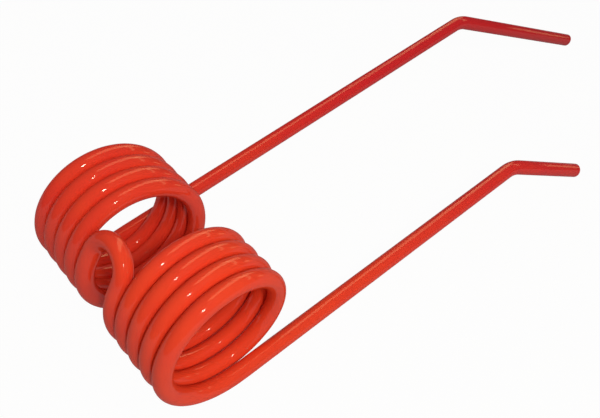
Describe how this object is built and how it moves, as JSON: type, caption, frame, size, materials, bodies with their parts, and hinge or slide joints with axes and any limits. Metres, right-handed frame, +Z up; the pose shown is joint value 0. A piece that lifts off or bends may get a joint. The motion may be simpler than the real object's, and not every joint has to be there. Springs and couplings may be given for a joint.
{
  "type": "rake tine",
  "caption": "Double-coil spring tine for a hay rake: paired coils joined by a loop, unequal legs with kinked tips.",
  "frame": {"origin": "on the axis that the coils share, midway between them", "axes": "+X along the legs towards the points, +Y along the coil axis towards the half with the longer leg, +Z up with the tine lying on its coils and points"},
  "size_m": [0.4751, 0.1446, 0.0794],
  "materials": {
    "tine_paint": "thick glossy red-orange paint over round spring steel wire"
  },
  "bodies": {
    "root": {"tine": "tine_paint"}
  },
  "joints": []
}
